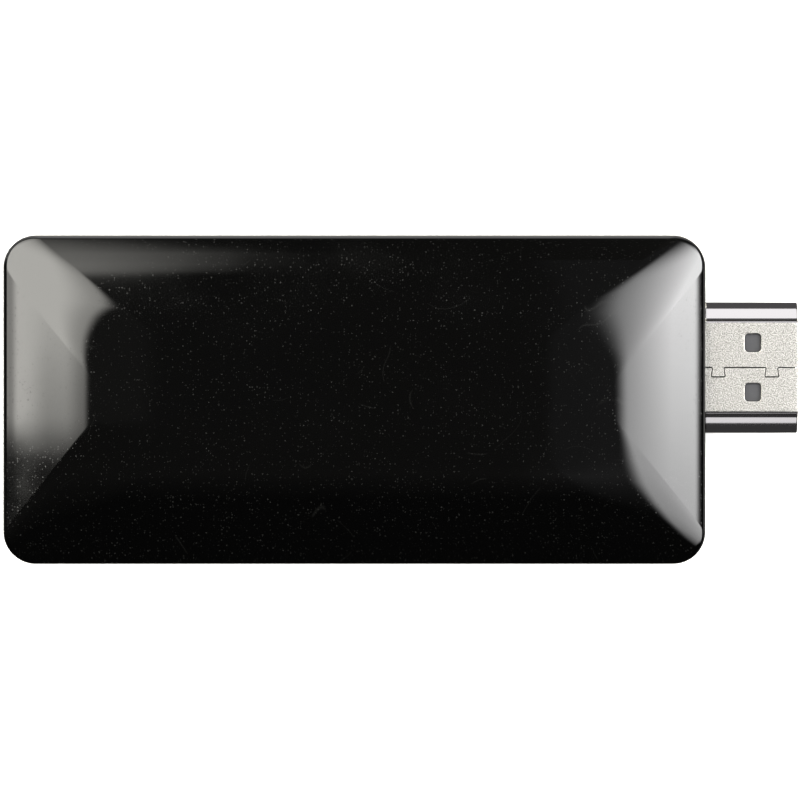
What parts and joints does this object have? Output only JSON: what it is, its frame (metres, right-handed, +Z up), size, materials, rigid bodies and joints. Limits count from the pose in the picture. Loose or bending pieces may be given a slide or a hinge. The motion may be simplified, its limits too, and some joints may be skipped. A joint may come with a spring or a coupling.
{
  "type": "streaming media player",
  "caption": "Slim stick with a domed gloss black case, a flat video plug on one end, and a power socket, button and status light on the other.",
  "frame": {"origin": "centre of the whole stick's underside, video plug included", "axes": "+X from the power socket end to the video plug's tip, +Y across towards the side the plug is nearer to, +Z up through the domed cover"},
  "size_m": [0.0844, 0.035, 0.012],
  "materials": {
    "gloss_case": "high gloss black moulding with a few fine scratches",
    "button": "fine matte black moulding",
    "light_guide": "clear moulded polycarbonate",
    "led": "cast epoxy over a pale body",
    "nickel": "bright nickel plate with a fine grain",
    "gold": "gold flash over copper alloy",
    "insulator": "satin black glass-filled moulding",
    "board": "green solder mask over glass-epoxy laminate",
    "chip": "matte black moulding compound",
    "ferrite": "pressed dark grey ferrite",
    "tantalum": "yellow moulded epoxy",
    "aluminium": "plain extruded",
    "thermal_pad": "soft matte silicone",
    "screw": "black zinc plate",
    "flex": "amber polyimide film",
    "coax": "smooth black jacket",
    "label": "blank satin polyester film"
  },
  "bodies": {
    "player": {"top_cover": "gloss_case", "bottom_tray": "gloss_case", "rating_label": "label", "main_board": "board", "board_screw_1": "screw", "board_screw_2": "screw", "video_plug_shell": "nickel", "video_plug_insulator": "insulator", "power_socket_shell": "nickel", "power_socket_insulator": "insulator", "switch_housing": "insulator", "light_pipe": "light_guide", "status_led": "led", "processor": "chip", "memory_chip_1": "chip", "memory_chip_2": "chip", "flash_chip": "chip", "power_chip": "chip", "inductor_1": "ferrite", "inductor_2": "ferrite", "bulk_capacitor_1": "tantalum", "bulk_capacitor_2": "tantalum", "clock_crystal": "nickel", "thermal_pad": "thermal_pad", "heat_sink": "aluminium", "radio_board": "board", "radio_can": "nickel", "antenna_plug": "gold", "antenna_flex": "flex", "antenna_lead": "coax", "video_contact_01": "gold", "video_contact_02": "gold", "video_contact_03": "gold", "video_contact_04": "gold", "video_contact_05": "gold", "video_contact_06": "gold", "video_contact_07": "gold", "video_contact_08": "gold", "video_contact_09": "gold", "video_contact_10": "gold", "video_contact_11": "gold", "video_contact_12": "gold", "video_contact_13": "gold", "video_contact_14": "gold", "video_contact_15": "gold", "video_contact_16": "gold", "video_contact_17": "gold", "video_contact_18": "gold", "video_contact_19": "gold", "power_contact_1": "gold", "power_contact_2": "gold", "power_contact_3": "gold", "power_contact_4": "gold", "power_contact_5": "gold"},
    "button": {"button_cap": "button"},
    "plunger": {"switch_plunger": "button"}
  },
  "joints": [
    {"name": "button_press", "type": "slide", "parent": "player", "child": "button", "axis": [1, 0, 0], "range_m": [0, 0.0003], "stiffness_N_per_m": 4000, "springref_m": -0.0001},
    {"name": "plunger_travel", "type": "slide", "parent": "player", "child": "plunger", "axis": [1, 0, 0], "range_m": [0, 0.0003]}
  ],
  "couplings": [
    {"joint": "plunger_travel", "follows": "button_press", "ratio": 1}
  ]
}
